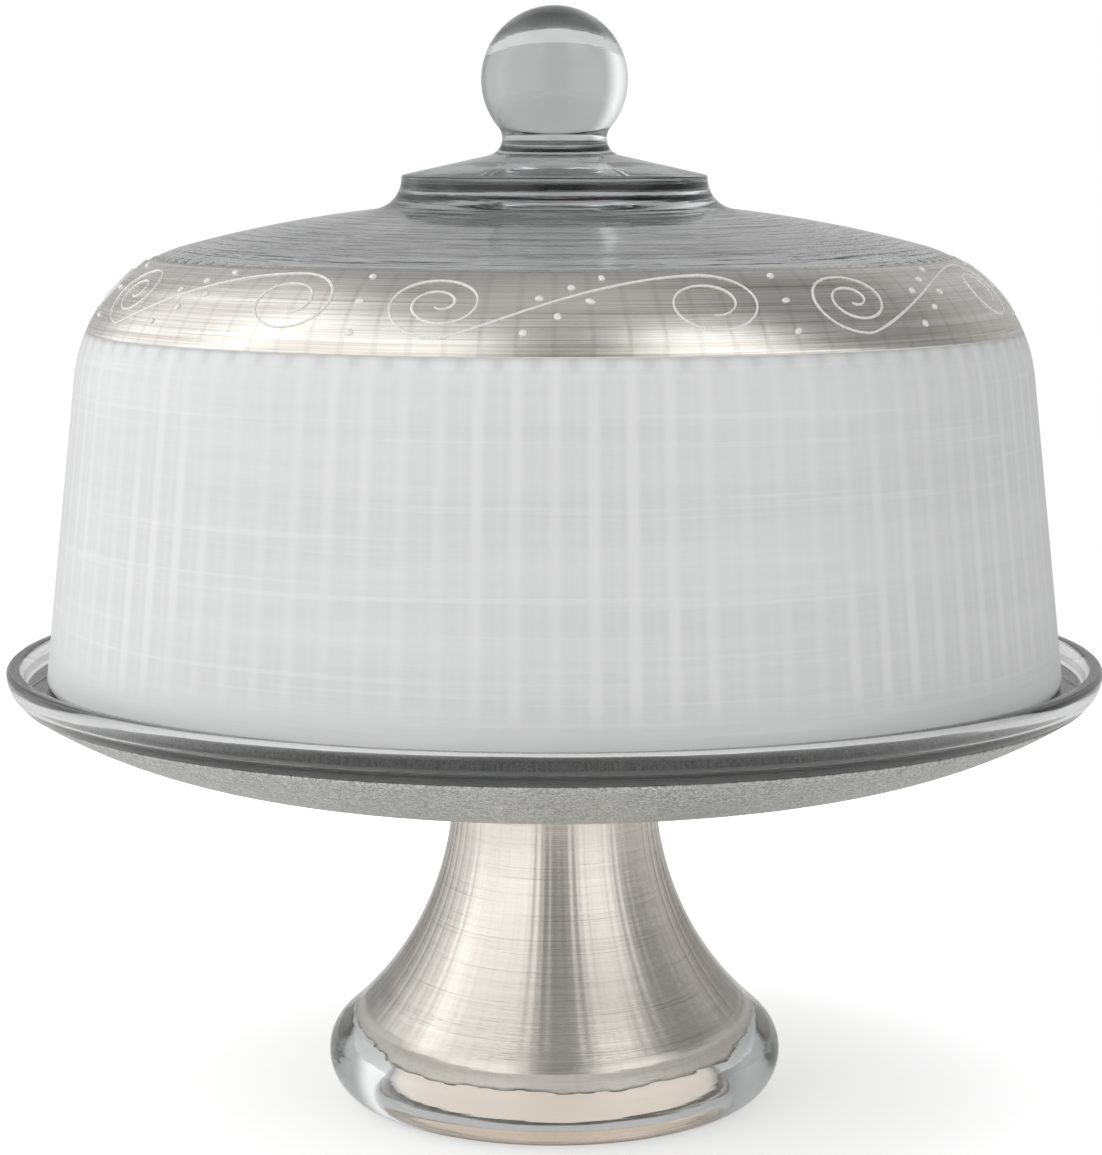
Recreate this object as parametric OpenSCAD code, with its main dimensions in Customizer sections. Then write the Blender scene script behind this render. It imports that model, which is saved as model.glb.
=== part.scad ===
// Domed cake stand. A pressed-glass dome with a ball knob rests inside the rim of a footed glass plate.
// The dome lifts straight up. All glass is turned about the Z axis, and Z = 0 is the plane the foot rests on.
// Profiles are drawn as [radius, height] and turned. A slope or rise angle is in degrees.

/* [Dome] */
// Outer radius of the dome's wall, carried down to the ledge it rests on
dome_base_r = 146.9; // [145:0.1:148]
// Height of the straight wall
wall_h = 88.5; // [80:0.5:100]
// Lean of the wall towards the axis
wall_lean = 6.15; // [4:0.05:7]
// Outer radius of the round shoulder
shoulder_round = 42.9; // [38:0.1:46]
// Outer radius of the shallow crown above the shoulder
crown_round = 366; // [340:2:400]
// Thickness of the dome's glass
dome_t = 4.5; // [4.3:0.1:5.5]
// Outer rounding of the dome's bottom edge
hem_round = 2.8; // [1.5:0.1:2.8]

/* [Knob] */
// Radius of the ball
knob_r = 21; // [18:0.5:23]
// Radius of the neck under the ball
neck_r = 15; // [13:0.5:16]
// Radius of the fillet that runs from the ball into the collar
neck_fillet = 5; // [4:0.5:6]
// Radius of the thick collar under the neck
collar_r = 43.95; // [40:0.05:46]
// Radius of the fillet between the collar and the crown
collar_fillet = 9; // [7:0.5:10]
// Fall of the collar's top towards its edge
collar_fall = 12.5; // [10:0.5:15]

/* [Paint] */
// Thickness of each paint coat
coat_t = 0.3; // [0.2:0.05:0.4]
// Rise angle on the shoulder where the white coat ends and the silver band starts
band_low = 24; // [20:1:28]
// Rise angle on the shoulder where the silver band ends
band_high = 62; // [58:1:66]
// Number of scroll motifs around the band
motif_count = 7; // [5:1:7]
// Width of a raised scroll line
line_w = 0.9; // [0.6:0.1:1.2]
// Height of a raised scroll line
line_h = 0.45; // [0.3:0.05:0.6]
// Radius of a raised dot
dot_r = 1.3; // [1:0.1:1.6]

/* [Plate] */
// Height of the ledge that carries the dome
seat_z = 125; // [124:0.5:126]
// Height of the plate's flat underside
plate_z = 101; // [100:0.5:102]
// Radius of the flat middle of the plate
plate_flat_r = 83.3; // [80:0.1:84]
// Radius of the curve that turns the plate up to its rim
plate_round = 131; // [128:1:134]
// Angle that this curve turns through
plate_sweep = 32.9; // [32:0.1:34]
// Outer rounding of the rim
rim_round = 8.8; // [8:0.1:9.5]
// Thickness of the plate's floor
plate_t = 6.5; // [5.5:0.1:7]

/* [Pedestal] */
// Outer radius of the pedestal's waist
waist_r = 29.8; // [28:0.1:32]
// Radius of the flare from the waist to the foot
flare_round = 90.85; // [88:0.05:94]
// Radius of the rounded bead around the foot
bead_round = 14.1; // [13.7:0.1:15]
// Height of the bead's widest point
bead_z = 13.6; // [13:0.1:13.6]
// Glass thickness at the waist
waist_t = 5.2; // [4.5:0.1:6]
// Radius of the hollow's mouth, where it opens under the foot
mouth_r = 52.6; // [51.5:0.1:53]

/* [Hidden] */
$fn = 144;

smoke = [0.62, 0.66, 0.66, 0.45];
silver = [0.74, 0.71, 0.67];
white_frost = [0.92, 0.93, 0.93];

// Points of an arc about c, from angle a0 to a1, in n steps
function arc(c, r, a0, a1, n) = [for (i = [0:n]) let (a = a0 + (a1 - a0) * i / n) c + r * [cos(a), sin(a)]];
function reversed(p) = [for (i = [len(p) - 1:-1:0]) p[i]];
function unit(v) = v / norm(v);

// Dome: centres of its arcs, and the angles at which they meet
crown_start = 75;
shoulder_c = [dome_base_r - wall_h * tan(wall_lean) - shoulder_round * cos(wall_lean),
              seat_z + wall_h - shoulder_round * sin(wall_lean)];
crown_c = shoulder_c - (crown_round - shoulder_round) * [cos(crown_start), sin(crown_start)];
fillet_r = collar_r + collar_fillet;
fillet_z = crown_c.y + sqrt(pow(crown_round + collar_fillet, 2) - pow(fillet_r - crown_c.x, 2));
fillet_c = [fillet_r, fillet_z];
crown_end = atan2(fillet_z - crown_c.y, fillet_r - crown_c.x);

// Collar and knob
edge_round = 1;
edge_c = [collar_r - edge_round, fillet_z];
edge_top = edge_c + edge_round * [sin(collar_fall), cos(collar_fall)];
neck_c_r = neck_r + neck_fillet;
neck_c = [neck_c_r, edge_top.y + (edge_top.x - neck_c_r) * tan(collar_fall) + neck_fillet / cos(collar_fall)];
knob_z = neck_c.y + sqrt(pow(knob_r + neck_fillet, 2) - pow(neck_c.x, 2));
neck_to_ball = atan2(knob_z - neck_c.y, -neck_c.x);
// Angle on the neck's fillet where the knob's glass was set on the collar's
knob_joint = 248;

// The shoulder in three stretches, so that each coat shares its own stretch with the glass under it
function below_band(off) = arc(shoulder_c, shoulder_round + off, wall_lean, band_low, 6);
function on_band(off) = arc(shoulder_c, shoulder_round + off, band_low, band_high, 16);
function above_band(off) = arc(shoulder_c, shoulder_round + off, band_high, crown_start, 4);

// A point on the wall's slanted line, off proud of the outer face
function on_wall(h, off) = [dome_base_r - h * tan(wall_lean) + off / cos(wall_lean), seat_z + h];

// Bottom edge of the dome
hem_inner = 1;
hem_out_c = [dome_base_r - hem_round * (1 + sin(wall_lean)) / cos(wall_lean), seat_z + hem_round];
hem_in_r = dome_base_r - (dome_t - hem_inner + hem_inner * sin(wall_lean)) / cos(wall_lean);
hem_in_c = [hem_in_r, seat_z + hem_inner];

// Plate: centres of its arcs
under_c = [plate_flat_r, plate_z + plate_round];
rim_c = under_c + (plate_round - rim_round) * [sin(plate_sweep), -cos(plate_sweep)];
lip_round = 1.7;
lip_c = rim_c + [rim_round - lip_round, 0];
lip_top_w = 1.5;
// The cove joins the rim's inner side to the ledge, and starts a little below its own centre
cove_round = 2.6;
cove_back = 4.3;
cove_start = -20;
cove_c = [lip_c.x - lip_top_w - cove_back, seat_z + cove_round];
ledge_inner_r = 138.6;
ledge_round = 0.8;
ledge_break = 170;
dish_round = plate_round - plate_t;
dish_end = 25.3;

// Pedestal: centres of its arcs
top_fillet = 7.6;
waist_z = plate_z - top_fillet;
flare_c = [waist_r + flare_round, waist_z];
flare_end = asin((waist_z - bead_z) / (flare_round + bead_round));
bead_c = flare_c - (flare_round + bead_round) * [cos(flare_end), sin(flare_end)];
bead_start = asin(-bead_z / bead_round);
bond_edge = 105;
// The hollow's own flare runs from the waist down to the height where it turns into the straight mouth
throat_z = 17;
throat_r = 50.5;
hollow_r = waist_r - waist_t;
hollow_drop = waist_z - throat_z;
hollow_round = (pow(throat_r - hollow_r, 2) + pow(hollow_drop, 2)) / (2 * (throat_r - hollow_r));
hollow_c = [hollow_r + hollow_round, waist_z];
hollow_end = asin(hollow_drop / hollow_round);
roof_round = 2.1;
mouth_round = 0.9;
// How far the paint runs down the mouth, and how far short of the throat its inner face turns
coat_drop = 3.6;
corner_turn = 0.1;

// Scroll motif: u runs around the band and v up it, both in millimetres from the motif's middle
band_mid = 45;
band_r = shoulder_round + coat_t;
mid_r = shoulder_c.x + band_r * cos(band_mid);
motif_turn = 2.4;
motif_half = 180 / motif_count;
spiral_u = 34.7;
spiral_r = 14.3;
spiral_squash = 0.75;
left_turns = 2.1;
right_turns = 1.5;
spiral_fade = 2.4;
tail_pull_left = 8;
tail_pull_right = 28;
step_per_turn = 14;
tail_steps = 12;
// The lines run in straight steps over the curved band, and this much lift keeps the steps clear of it
line_lift = 0.1;
dot_lift = 0.02;

// Place on the band's outer face, and the outward direction there
function band_normal(u, v) = let (a = u / mid_r * 180 / PI, b = band_mid + v / band_r * 180 / PI)
    [cos(b) * sin(a), -cos(b) * cos(a), sin(b)];
function band_point(u, v, off) = let (a = u / mid_r * 180 / PI, b = band_mid + v / band_r * 180 / PI,
    r = shoulder_c.x + (band_r + off) * cos(b))
    [r * sin(a), -r * cos(a), shoulder_c.y + (band_r + off) * sin(b)];

// A spiral about [cu, 0] that starts at start and winds in clockwise
function spiral(cu, start, turns) = let (n = round(turns * step_per_turn)) [for (i = [0:n])
    let (t = turns * i / n, a = start - 360 * t, r = spiral_r * (1 - t / spiral_fade))
    [cu + r * cos(a), spiral_squash * r * sin(a)]];
function bezier(a, b, c, d, n) = [for (i = [1:n - 1]) let (t = i / n, s = 1 - t)
    s * s * s * a + 3 * s * s * t * b + 3 * s * t * t * c + t * t * t * d];
left_spiral = reversed(spiral(-spiral_u, -90, left_turns));
right_spiral = spiral(spiral_u, 90, right_turns);
tail_from = left_spiral[len(left_spiral) - 1];
tail_to = right_spiral[0];
tail_bend_left = tail_from + [tail_pull_left, 0];
tail_bend_right = tail_to - [tail_pull_right, 0];
tail = bezier(tail_from, tail_bend_left, tail_bend_right, tail_to, tail_steps);
motif_path = concat(left_spiral, tail, right_spiral);

// Four corners of the line's section at step i of the path
function line_ring(i) = let (
    last = len(motif_path) - 1,
    before = motif_path[max(i - 1, 0)],
    after = motif_path[min(i + 1, last)],
    here = motif_path[i],
    along = unit(band_point(after.x, after.y, 0) - band_point(before.x, before.y, 0)),
    out = band_normal(here.x, here.y),
    side = cross(out, along),
    foot = band_point(here.x, here.y, line_lift))
    [foot - side * line_w / 2, foot + side * line_w / 2,
     foot + side * line_w / 4 + out * line_h, foot - side * line_w / 4 + out * line_h];

// Rows of three dots: one above the tail, one below it and one at the motif's edge.
// Each is its middle dot and the step to the next dot.
upper_row = [[-0.9, 5.9], [8.3, 4.0]];
lower_row = [[-4.6, -4.0], [8.3, 4.9]];
edge_row = [[motif_half * PI / 180 * mid_r, 0.3], [0, 9.7]];
motif_dots = [for (row = [upper_row, lower_row, edge_row]) for (k = [-1:1]) row[0] + k * row[1]];

// Turns a closed profile about the Z axis
module turned(points) {
    rotate_extrude() polygon(points);
}

module around_band() {
    for (i = [0:motif_count - 1]) {
        rotate([0, 0, motif_turn + i * 360 / motif_count]) children();
    }
}

module dome_bell() {
    color(smoke) {
        turned(concat(
            arc(neck_c, neck_fillet, knob_joint, 270 - collar_fall, 2),
            reversed(arc(edge_c, edge_round, 0, 90 - collar_fall, 5)),
            arc(fillet_c, collar_fillet, 180, 180 + crown_end, 12),
            reversed(arc(crown_c, crown_round, crown_start, crown_end, 4)),
            reversed(above_band(0)),
            reversed(on_band(0)),
            reversed(below_band(0)),
            reversed(arc(hem_out_c, hem_round, -90, wall_lean, 8)),
            arc(hem_in_c, hem_inner, 270, 180 + wall_lean, 4),
            below_band(-dome_t),
            on_band(-dome_t),
            above_band(-dome_t),
            arc(crown_c, crown_round - dome_t, crown_start, 90, 6),
            [[0, crown_c.y + crown_round - dome_t]],
            [[0, neck_c.y + neck_fillet * sin(knob_joint)]]));
    }
}

module ball_knob() {
    color(smoke) {
        turned(concat(
            [[0, neck_c.y + neck_fillet * sin(knob_joint)]],
            reversed(arc(neck_c, neck_fillet, neck_to_ball, knob_joint, 12)),
            arc([0, knob_z], knob_r, neck_to_ball - 180, 90, 26)));
    }
}

module frost_coat() {
    coat_start = 4;
    color(white_frost) {
        turned(concat(
            [on_wall(coat_start, 0)],
            below_band(0),
            reversed(below_band(coat_t)),
            [on_wall(coat_start, coat_t)]));
    }
}

module silver_band() {
    color(silver) turned(concat(on_band(0), reversed(on_band(coat_t))));
}

module scroll_lines() {
    sides = 4;
    last = len(motif_path) - 1;
    points = [for (i = [0:last]) each line_ring(i)];
    skin = [for (i = [0:last - 1]) for (k = [0:sides - 1])
        [i * sides + k, i * sides + (k + 1) % sides, (i + 1) * sides + (k + 1) % sides, (i + 1) * sides + k]];
    start_cap = [for (k = [sides - 1:-1:0]) k];
    end_cap = [for (k = [0:sides - 1]) last * sides + k];
    color("white") around_band() polyhedron(points, concat(skin, [start_cap, end_cap]));
}

module scroll_dots() {
    cap_h = 0.7;
    ball_r = (dot_r * dot_r + cap_h * cap_h) / (2 * cap_h);
    color("white") around_band() {
        for (d = motif_dots) {
            turn = d.x / mid_r * 180 / PI;
            tilt = 90 - band_mid - d.y / band_r * 180 / PI;
            translate(band_point(d.x, d.y, dot_lift)) rotate([0, 0, turn]) rotate([tilt, 0, 0]) {
                intersection() {
                    translate([0, 0, cap_h - ball_r]) sphere(r = ball_r, $fn = 24);
                    translate([-ball_r, -ball_r, 0]) cube(2 * ball_r);
                }
            }
        }
    }
}

module cake_plate() {
    color(smoke) {
        turned(concat(
            [[0, plate_z]],
            arc(under_c, plate_round, 270, 270 + plate_sweep, 16),
            arc(rim_c, rim_round, plate_sweep - 90, 0, 8),
            arc(lip_c, lip_round, 0, 90, 5),
            [lip_c + [-lip_top_w, lip_round]],
            arc(cove_c, cove_round, cove_start, -90, 4),
            arc([ledge_inner_r, seat_z - ledge_round], ledge_round, 90, ledge_break, 3),
            reversed(arc(under_c, dish_round, 270, 270 + dish_end, 12)),
            [[0, under_c.y - dish_round]]));
    }
}

module plate_undercoat() {
    inner_r = waist_r + top_fillet + 1;
    color(silver) {
        turned(concat(
            [[inner_r, plate_z - coat_t], [inner_r, plate_z]],
            arc(under_c, plate_round, 270, 270 + plate_sweep, 16),
            reversed(arc(under_c, plate_round + coat_t, 270, 270 + plate_sweep, 16))));
    }
}

module pedestal() {
    roof_z = waist_z + roof_round;
    color(smoke) {
        turned(concat(
            [[0, roof_z], [0, plate_z]],
            [[waist_r + top_fillet + top_fillet * cos(bond_edge), plate_z]],
            arc([waist_r + top_fillet, waist_z], top_fillet, bond_edge, 180, 8),
            arc(flare_c, flare_round, 180, 180 + flare_end, 24),
            reversed(arc(bead_c, bead_round, bead_start, flare_end, 20)),
            arc([mouth_r + mouth_round, mouth_round], mouth_round, 270, 180, 3),
            reversed(arc(hollow_c, hollow_round, 180, 180 + hollow_end, 20)),
            arc([hollow_r - roof_round, waist_z], roof_round, 0, 90, 4)));
    }
}

module pedestal_coat() {
    // The coat runs on past the throat, down the straight mouth, and ends above the bare glass of the foot
    throat = [throat_r, throat_z];
    along = unit([mouth_r, mouth_round] - throat);
    end = throat + along * coat_drop;
    // Directions into the hollow, across the mouth and across the end of the flare
    off_mouth = [along.y, -along.x];
    off_flare = -[cos(hollow_end), sin(hollow_end)];
    corner = throat + (off_mouth + off_flare) * coat_t / (1 + off_mouth * off_flare);
    color(silver) {
        turned(concat(
            arc(hollow_c, hollow_round, 180, 180 + hollow_end, 20),
            [end, end + off_mouth * coat_t, corner],
            reversed(arc(hollow_c, hollow_round + coat_t, 180, 180 + hollow_end - corner_turn, 20))));
    }
}

dome_bell();
ball_knob();
frost_coat();
silver_band();
scroll_lines();
scroll_dots();
cake_plate();
plate_undercoat();
pedestal();
pedestal_coat();
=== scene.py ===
"""Looks of the domed cake stand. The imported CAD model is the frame, and every piece here rides on one of its
bodies.

Lengths are in metres in the row frame, with +Z up and the axis of the glass on Z. Angles are in degrees. A
profile is a closed list of (radius, height) points, turned about Z, and its angles are rises above the
horizontal."""

import math
import random

import bmesh
import bpy
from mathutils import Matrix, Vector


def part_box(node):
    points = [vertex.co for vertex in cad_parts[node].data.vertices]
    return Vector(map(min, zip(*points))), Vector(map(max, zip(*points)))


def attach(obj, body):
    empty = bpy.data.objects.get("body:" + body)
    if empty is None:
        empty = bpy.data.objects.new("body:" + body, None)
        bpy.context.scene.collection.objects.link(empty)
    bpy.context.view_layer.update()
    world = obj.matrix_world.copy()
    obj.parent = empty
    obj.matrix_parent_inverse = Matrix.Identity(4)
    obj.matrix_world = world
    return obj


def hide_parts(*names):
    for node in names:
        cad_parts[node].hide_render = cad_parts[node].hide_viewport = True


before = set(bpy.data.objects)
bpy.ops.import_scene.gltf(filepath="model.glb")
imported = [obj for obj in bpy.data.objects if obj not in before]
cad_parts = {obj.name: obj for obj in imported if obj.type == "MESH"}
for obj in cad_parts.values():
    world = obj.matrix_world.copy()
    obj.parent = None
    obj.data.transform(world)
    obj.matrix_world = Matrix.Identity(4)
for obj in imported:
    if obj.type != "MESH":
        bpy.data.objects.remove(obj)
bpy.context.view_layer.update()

MM = 0.001
random.seed(7)

# ---------------------------------------------------------------- heights taken from the frame
SEAT_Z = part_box("dome_bell")[0].z    # the ledge that carries the dome
PLATE_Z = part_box("cake_plate")[0].z  # the plate's flat underside

# ---------------------------------------------------------------- dome
BASE_R = 146.9 * MM                  # the wall's outer radius, carried on down to the seat
WALL_LEAN = 6.15                     # inwards from upright
WALL_H = 88.5 * MM                   # height of the straight wall
SHOULDER_R = 42.9 * MM               # rounding from the wall to the crown
CROWN_R = 366 * MM                   # rounding of the crown
CROWN_START = 75                     # where the shoulder's arc meets the crown's
DOME_T = 4.5 * MM                    # thickness of the glass
HEM_OUT = 2.8 * MM                   # roundings of the hem
HEM_IN = 1.0 * MM
SKIRT_LOW = HEM_OUT * 1.2            # where the meshed wall starts, clear of the hem's rounding

COAT_T = 0.3 * MM                    # thickness of a coat of paint
WETTED = 0.05 * MM                   # how deep a coat's inner face sits in the glass that it wets
BAND_LOW = 24                        # the silver band's two edges on the shoulder's arc
BAND_HIGH = 62
HEM_COAT_START = -50                 # where the white coat starts on the hem's rounding

KNOB_R = 21 * MM
NECK_R = 15 * MM
NECK_FILLET = 5 * MM
COLLAR_R = 43.95 * MM
COLLAR_FILLET = 9 * MM               # rounding from the crown up to the collar
COLLAR_FALL = 12.5                   # slope of the collar's top
COLLAR_EDGE = 1 * MM                 # rounding of the collar's edge

RIB_COUNT = 90
RIB_PROUD = 1.0 * MM
RIB_HALF = 0.13                      # half a rib's width, as a share of the pitch
RIB_STEPS = (-0.5, -0.13, -0.07, 0.0, 0.07, 0.13)    # places across one rib's pitch
RIB_START = SEAT_Z + 9 * MM          # the ribs rise from here to their full height
RIB_FULL = SEAT_Z + 16 * MM

BAND_GROOVE = 0.09 * MM              # how deep the silver band dips over each rib
BAND_SOFT_LOW = 7 * MM               # heights over which the band's facets fade in and out at its edges
BAND_SOFT_HIGH = 5 * MM

# ---------------------------------------------------------------- plate and pedestal
PLATE_FLAT_R = 83.3 * MM             # radius of the flat part of the plate
PLATE_ROUND = 131 * MM               # rounding of its underside
PLATE_SWEEP = 32.9                   # sweep of that rounding, up to the rim
PLATE_T = 6.5 * MM
DISH_END = 25.3                      # where the dish's rounding ends, at the ledge
RIM_ROUND = 8.8 * MM
LIP_ROUND = 1.7 * MM                 # the lip's outer and inner roundings, and the flat between them
LIP_INNER = 0.6 * MM
LIP_TOP = 1.5 * MM
COVE_ROUND = 2.6 * MM                # rounding from the lip down to the ledge
COVE_BACK = 4.3 * MM
LEDGE_R = 138.6 * MM
LEDGE_ROUND = 0.8 * MM

WAIST_R = 29.8 * MM
WAIST_T = 5.2 * MM
TOP_FILLET = 7.6 * MM                # rounding from the waist out to the plate
TOP_SWEEP = 105                      # where that rounding ends, just short of the plate
PLATE_GAP = 0.02 * MM                # keeps the two glass meshes from sharing a face
WAIST_Z = PLATE_Z - TOP_FILLET
FLARE_R = 90.85 * MM
BEAD_R = 14.1 * MM                   # the foot's thick edge
BEAD_Z = 13.6 * MM
THROAT_R = 50.5 * MM                 # where the hollow's flare starts, above its mouth
THROAT_Z = 17 * MM
MOUTH_R = 52.6 * MM
MOUTH_ROUND = 0.9 * MM
ROOF_ROUND = 2.1 * MM

FLUTE_COUNT = 52
FLUTE_STEPS = 8                      # places across one flute
FLUTE_SWELL = 0.10 * MM              # height of the rib between two flutes
FLUTE_HALF = 0.3                     # half that rib's width, as a share of the pitch
FLUTE_FLAT = 36 * MM                 # radius that the flat sides of the flutes are worked out for
FLUTE_RISE = 6 * MM                  # height above the throat over which the flutes come in
FLUTE_END = 2 * MM                   # height below the waist over which they end

PAINT_DROP = 3.6 * MM                # how far the flare's paint runs on past the throat
EDGE_WAVE = 0.5 * MM                 # how far its brushed edge wanders
EDGE_WAVES = ((7, 0, 0.5), (19, 40, 0.3), (43, 0, 0.2))    # waves a turn, phase and share of the wander

ROUND_STEPS = 288                    # steps around a plain turned piece
POLE_R = 1e-7                        # below this radius, a profile's point is on the axis


def sin(a):
    return math.sin(math.radians(a))


def cos(a):
    return math.cos(math.radians(a))


def tan(a):
    return math.tan(math.radians(a))


def out_from(c, r, a):
    """The point at distance r from c in direction a."""
    return (c[0] + r * cos(a), c[1] + r * sin(a))


def arc(c, r, a0, a1, n):
    """n + 1 points of an arc about c."""
    return [out_from(c, r, a0 + (a1 - a0) * i / n) for i in range(n + 1)]


def between(a, b, n):
    """The n - 1 points that divide the line from a to b."""
    return [(a[0] + (b[0] - a[0]) * i / n, a[1] + (b[1] - a[1]) * i / n) for i in range(1, n)]


def fade(x, a, b):
    """0 at a, 1 at b, smooth between."""
    t = min(1.0, max(0.0, (x - a) / (b - a)))
    return t * t * (3 - 2 * t)


# ---------------------------------------------------------------- centres of the profile's arcs
def on_wall(h, off=0.0):
    """A point on the wall's slanted line at height h above the seat, off proud of the outer face."""
    return (BASE_R - h * tan(WALL_LEAN) + off / cos(WALL_LEAN), SEAT_Z + h)


WALL_TOP = on_wall(WALL_H)
SHOULDER_C = out_from(WALL_TOP, -SHOULDER_R, WALL_LEAN)
CROWN_C = out_from(SHOULDER_C, SHOULDER_R - CROWN_R, CROWN_START)
FILLET_R = COLLAR_R + COLLAR_FILLET
FILLET_C = (FILLET_R, CROWN_C[1] + math.sqrt((CROWN_R + COLLAR_FILLET) ** 2 - (FILLET_R - CROWN_C[0]) ** 2))
CROWN_END = math.degrees(math.atan2(FILLET_C[1] - CROWN_C[1], FILLET_C[0] - CROWN_C[0]))
EDGE_C = (COLLAR_R - COLLAR_EDGE, FILLET_C[1])
EDGE_TOP = out_from(EDGE_C, COLLAR_EDGE, 90 - COLLAR_FALL)
NECK_X = NECK_R + NECK_FILLET
NECK_C = (NECK_X, EDGE_TOP[1] + (EDGE_TOP[0] - NECK_X) * tan(COLLAR_FALL) + NECK_FILLET / cos(COLLAR_FALL))
KNOB_Z = NECK_C[1] + math.sqrt((KNOB_R + NECK_FILLET) ** 2 - NECK_X ** 2)
NECK_TO_BALL = math.degrees(math.atan2(KNOB_Z - NECK_C[1], -NECK_X))
HEM_OUT_C = (BASE_R - HEM_OUT * (1 + sin(WALL_LEAN)) / cos(WALL_LEAN), SEAT_Z + HEM_OUT)
HEM_IN_C = (BASE_R - (DOME_T - HEM_IN + HEM_IN * sin(WALL_LEAN)) / cos(WALL_LEAN), SEAT_Z + HEM_IN)

UNDER_C = (PLATE_FLAT_R, PLATE_Z + PLATE_ROUND)
RIM_C = out_from(UNDER_C, PLATE_ROUND - RIM_ROUND, PLATE_SWEEP - 90)
LIP_C = (RIM_C[0] + RIM_ROUND - LIP_ROUND, RIM_C[1])
LIP_INNER_C = (LIP_C[0] - LIP_TOP, LIP_C[1] + LIP_ROUND - LIP_INNER)
COVE_C = (LIP_INNER_C[0] - COVE_BACK, SEAT_Z + COVE_ROUND)

FLARE_C = (WAIST_R + FLARE_R, WAIST_Z)
FLARE_END = math.degrees(math.asin((WAIST_Z - BEAD_Z) / (FLARE_R + BEAD_R)))
BEAD_C = out_from(FLARE_C, -FLARE_R - BEAD_R, FLARE_END)
BEAD_END = math.degrees(math.asin(-BEAD_Z / BEAD_R))
HOLLOW_WAIST = WAIST_R - WAIST_T
HOLLOW_WIDENS = THROAT_R - HOLLOW_WAIST
HOLLOW_R = (HOLLOW_WIDENS ** 2 + (WAIST_Z - THROAT_Z) ** 2) / (2 * HOLLOW_WIDENS)
HOLLOW_C = (HOLLOW_WAIST + HOLLOW_R, WAIST_Z)
HOLLOW_END = math.degrees(math.asin((WAIST_Z - THROAT_Z) / HOLLOW_R))

BAND_TOP_Z = out_from(SHOULDER_C, SHOULDER_R, BAND_HIGH)[1]
BAND_EDGE_Z = out_from(SHOULDER_C, SHOULDER_R, BAND_LOW)[1]
RIB_FADE = BAND_TOP_Z - 9 * MM       # the ribs sink from here and end just below the band's top edge
RIB_END = BAND_TOP_Z - 2.5 * MM
RIB_ANGLES = [360.0 * (i + s) / RIB_COUNT for i in range(RIB_COUNT) for s in RIB_STEPS]
FLUTE_ANGLES = [360.0 * i / (FLUTE_COUNT * FLUTE_STEPS) for i in range(FLUTE_COUNT * FLUTE_STEPS)]


# ---------------------------------------------------------------- mesh code
def lathe(name, profile, ripple=None, angles=None):
    """A closed profile turned about Z. Points on the axis become one pole. ripple(k, r, z, a) gives the
    radius and height, at angle a, of the profile's point k, which is (r, z)."""
    angles = angles or [360.0 * i / ROUND_STEPS for i in range(ROUND_STEPS)]
    verts, rows = [], []
    for k, (r, z) in enumerate(profile):
        if r < POLE_R:
            rows.append([len(verts)] * len(angles))
            verts.append((0, 0, z))
            continue
        rows.append(list(range(len(verts), len(verts) + len(angles))))
        for a in angles:
            rr, zz = (r, z) if ripple is None else ripple(k, r, z, a)
            verts.append((rr * sin(a), -rr * cos(a), zz))
    faces = []
    for k, low in enumerate(rows):
        high = rows[(k + 1) % len(rows)]
        if low[0] == low[1] and high[0] == high[1]:
            continue
        for i in range(len(angles)):
            j = (i + 1) % len(angles)
            face = [low[i], low[j], high[j], high[i]]
            faces.append([v for n, v in enumerate(face) if v != face[n - 1]])
    return mesh_piece(name, verts, faces)


def add_object(name, data):
    """An object of this data, put in the scene."""
    ob = bpy.data.objects.new(name, data)
    bpy.context.scene.collection.objects.link(ob)
    return ob


def mesh_piece(name, verts, faces):
    """A smooth-shaded object of these faces, all facing out."""
    mesh = bpy.data.meshes.new(name)
    mesh.from_pydata(verts, [], faces)
    mesh.validate()
    bm = bmesh.new()
    bm.from_mesh(mesh)
    bmesh.ops.recalc_face_normals(bm, faces=bm.faces)
    bm.to_mesh(mesh)
    bm.free()
    for p in mesh.polygons:
        p.use_smooth = True
    return add_object(name, mesh)


# ---------------------------------------------------------------- camera
CAMERA_LENS = 101.8                  # millimetres, for a 36 mm sensor
CAMERA_AT = (-1.0 * MM, -945 * MM, 280.2 * MM)
CAMERA_DIP = 7.63


def make_camera():
    """A long lens that looks slightly down, from a little to the left of the axis."""
    cam = bpy.data.cameras.new("camera")
    cam.sensor_width = 36
    cam.sensor_fit = "AUTO"
    cam.lens = CAMERA_LENS
    cam.clip_start = 10 * MM
    ob = add_object("camera", cam)
    ob.location = CAMERA_AT
    ob.rotation_euler = (math.radians(90 - CAMERA_DIP), 0, 0)
    bpy.context.scene.camera = ob


make_camera()


# ---------------------------------------------------------------- glass and coats of the dome
def wall_and_shoulder(off, high, wall_steps, shoulder_steps):
    """The wall and the shoulder up to rise high, off proud of the dome's outer face."""
    wall = [on_wall(SKIRT_LOW + (WALL_H - SKIRT_LOW) * i / wall_steps, off) for i in range(wall_steps)]
    return wall + arc(SHOULDER_C, SHOULDER_R + off, WALL_LEAN, high, shoulder_steps)


def rib_shape(a, count, half):
    """1 at the middle of a rib and 0 between the ribs."""
    t = abs(((a * count / 360.0 + 0.5) % 1.0) - 0.5) / half
    return 0.0 if t >= 1 else (0.5 + 0.5 * math.cos(math.pi * t))


def facet(a, count):
    """How far a regular polygon's side lies outside its inner circle at angle a, as a share of the radius."""
    half = 180.0 / count
    return 1 / cos((a + half) % (2 * half) - half) - 1


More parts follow.
